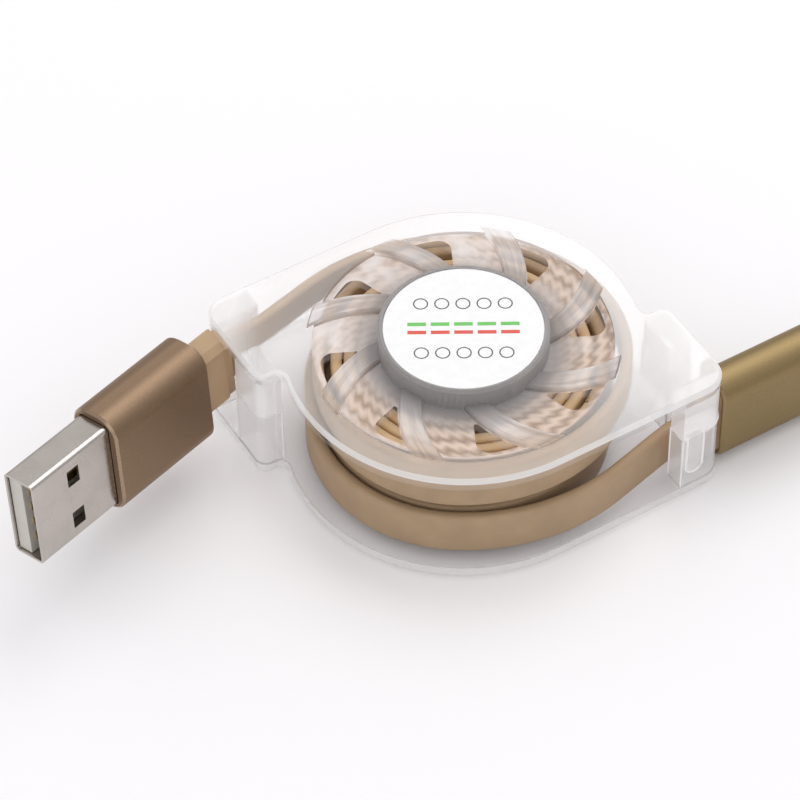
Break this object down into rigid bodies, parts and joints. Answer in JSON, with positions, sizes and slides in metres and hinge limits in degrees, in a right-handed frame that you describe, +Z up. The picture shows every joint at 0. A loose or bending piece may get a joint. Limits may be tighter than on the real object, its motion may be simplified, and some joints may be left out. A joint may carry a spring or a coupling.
{
  "type": "retractable charging cable",
  "caption": "Retractable flat charging cable: a clear case with a swirled top cover over a sprung reel of wound ribbon, and a plug in a metal sleeve on each end.",
  "frame": {"origin": "on the reel's axis, at the underside of the case, which rests on the floor", "axes": "+Z up along the reel's axis, +X the way the lower layer's plug is pulled, towards the connector with the flat oval shell"},
  "size_m": [0.1032, 0.043, 0.0201],
  "materials": {
    "clear_plastic": "clear, frosted on the panels",
    "label_paper": "white satin paper",
    "ribbon": "tan, matte",
    "reel_plastic": "pale grey, satin",
    "spring_steel": "bright strip",
    "bronze_sleeve": "bronze anodised, bead blasted",
    "olive_sleeve": "olive gold anodised, bead blasted",
    "relief_rubber": "tan, matte",
    "inner_plastic": "brown, matte",
    "plug_steel": "satin nickel",
    "tongue_plastic": "off white, satin",
    "dark_plastic": "black, satin",
    "contact_gold": "gold flash"
  },
  "bodies": {
    "case": {"top_cover": "clear_plastic", "bottom_cover": "clear_plastic", "label_disc": "label_paper", "cable_lower_run": "ribbon", "cable_upper_run": "ribbon", "return_spring": "spring_steel", "cable_right_tail": "ribbon", "cable_left_tail": "ribbon"},
    "reel": {"reel_spool": "reel_plastic", "spring_cover": "reel_plastic", "cable_lower_coil": "ribbon", "cable_upper_coil": "ribbon"},
    "usb_a_plug": {"usb_a_sleeve": "bronze_sleeve", "usb_a_strain_relief": "relief_rubber", "usb_a_inner_mould": "inner_plastic", "usb_a_shell": "plug_steel", "usb_a_tongue": "tongue_plastic", "usb_a_contacts": "contact_gold"},
    "usb_c_plug": {"usb_c_sleeve": "olive_sleeve", "usb_c_strain_relief": "relief_rubber", "usb_c_inner_mould": "inner_plastic", "usb_c_shell": "plug_steel", "usb_c_insert": "dark_plastic", "usb_c_contacts": "contact_gold"},
    "ball": {"lock_ball": "spring_steel"}
  },
  "joints": [
    {"name": "reel_spin", "type": "hinge", "parent": "case", "child": "reel", "pos_m": [0, 0, 0.009], "axis": [0, 0, 1], "range_deg": [0, 1080], "stiffness_Nm_per_rad": 0.0002, "springref_deg": -57.3, "deforming": ["return_spring"]},
    {"name": "usb_a_pull", "type": "slide", "parent": "case", "child": "usb_a_plug", "axis": [-0.9466, -0.3223, 0], "range_m": [0, 0.25], "deforming": ["cable_left_tail"]},
    {"name": "usb_c_pull", "type": "slide", "parent": "case", "child": "usb_c_plug", "axis": [1, 0, 0], "range_m": [0, 0.25], "deforming": ["cable_right_tail"]},
    {"name": "lock_ball_slide", "type": "slide", "parent": "case", "child": "ball", "axis": [1, 0, 0], "range_m": [0, 0.0012]}
  ],
  "couplings": [
    {"joint": "usb_a_pull", "follows": "reel_spin", "m_per_rad": 0.01326},
    {"joint": "usb_c_pull", "follows": "reel_spin", "m_per_rad": 0.01326}
  ]
}
